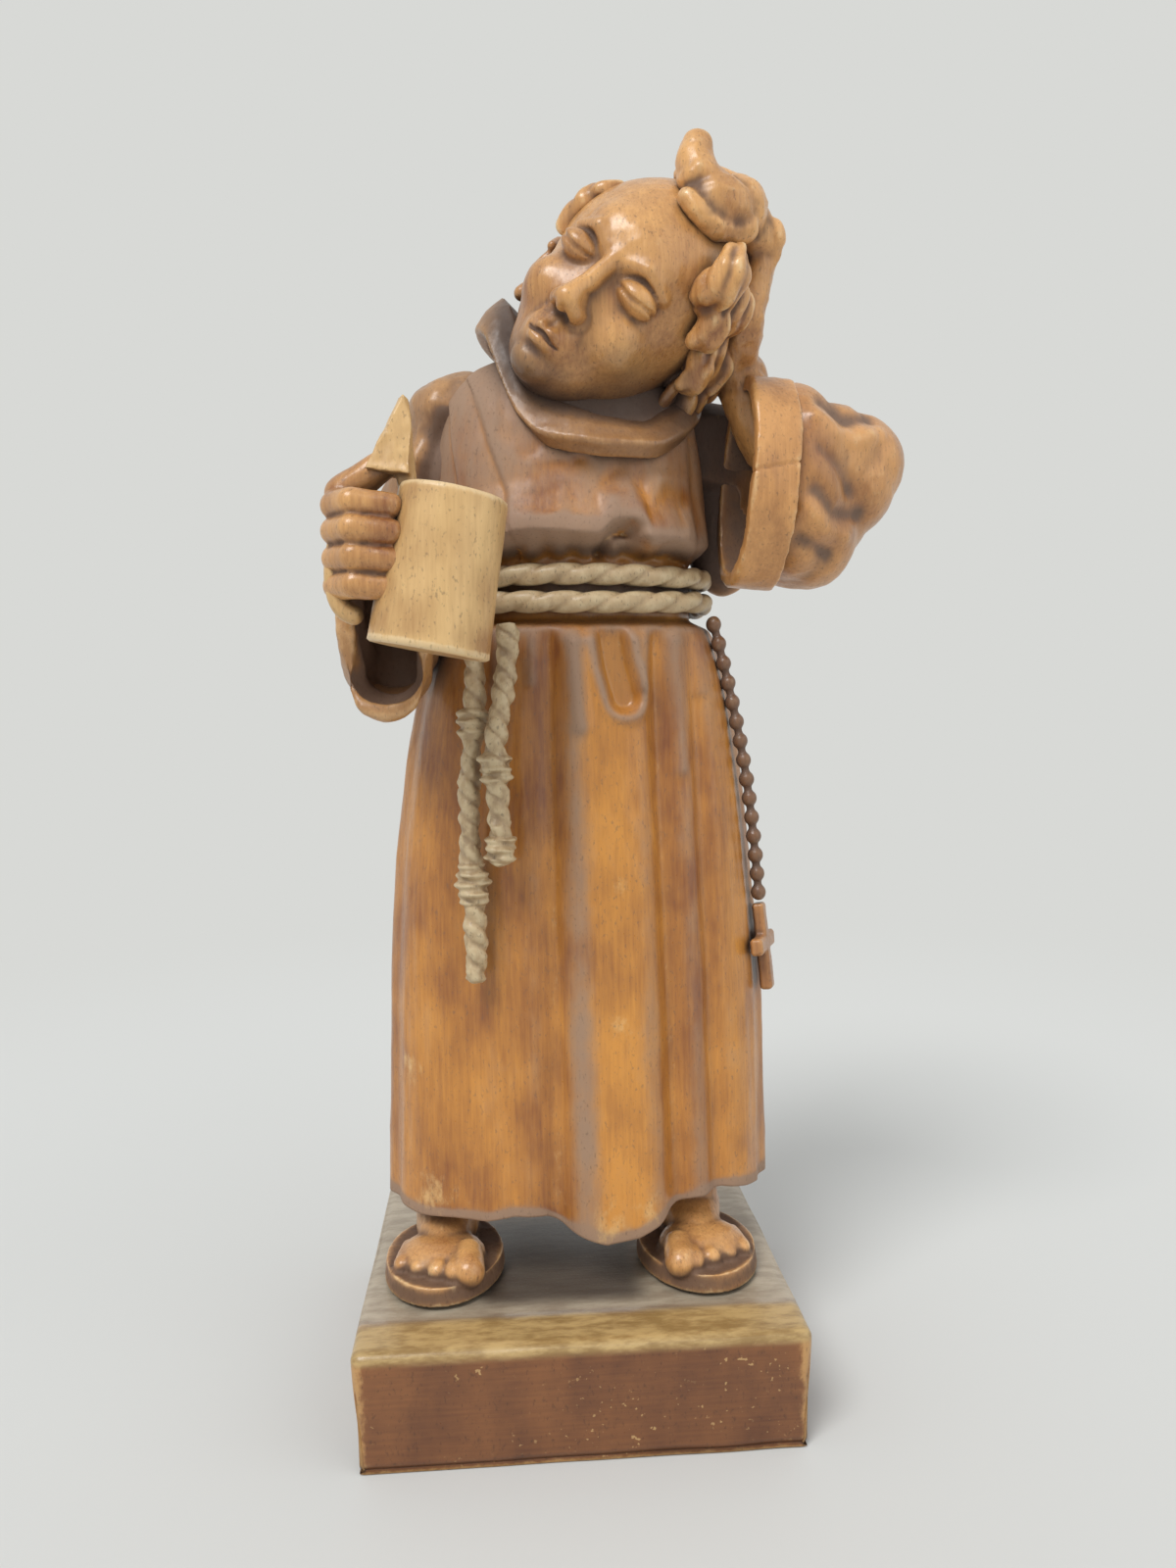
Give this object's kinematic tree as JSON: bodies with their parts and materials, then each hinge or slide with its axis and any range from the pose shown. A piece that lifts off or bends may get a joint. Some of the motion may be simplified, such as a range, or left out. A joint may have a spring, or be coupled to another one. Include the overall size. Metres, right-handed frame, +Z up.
{
  "type": "carved monk figurine",
  "caption": "Carved and stained wooden figurine of a tonsured friar in a girdled habit, holding a lidded mug and resting one hand on his tilted head, on a square plinth.",
  "frame": {"origin": "centre of the plinth's underside", "axes": "+Z up; the figure faces -Y, and +X is its own left"},
  "size_m": [0.0536, 0.0446, 0.1126],
  "materials": {
    "stained_wood": "orange-brown stain under worn wax",
    "dark_stained_wood": "dark brown stain under worn wax",
    "pale_wood": "pale, thinly waxed",
    "skin_wood": "light brown stain, satin",
    "painted_rope": "greyish-yellow paint, matt"
  },
  "bodies": {
    "root": {"plinth": "dark_stained_wood", "right_foot": "skin_wood", "left_foot": "skin_wood", "right_leg_peg": "pale_wood", "left_leg_peg": "pale_wood", "habit_body": "stained_wood", "cowl_collar": "stained_wood", "head": "skin_wood", "neck_dowel": "pale_wood", "tonsure_hair": "skin_wood", "right_sleeve": "stained_wood", "right_arm_dowel": "pale_wood", "right_hand": "skin_wood", "right_wrist_dowel": "pale_wood", "mug_body": "pale_wood", "mug_handle": "pale_wood", "mug_lid": "pale_wood", "left_sleeve": "stained_wood", "left_arm_dowel": "pale_wood", "left_cuff": "stained_wood", "left_hand": "skin_wood", "left_wrist_dowel": "pale_wood", "girdle_upper_turn": "painted_rope", "girdle_lower_turn": "painted_rope", "girdle_tail_long": "painted_rope", "girdle_tail_short": "painted_rope", "rosary_beads": "stained_wood", "rosary_cross": "stained_wood"}
  },
  "joints": []
}
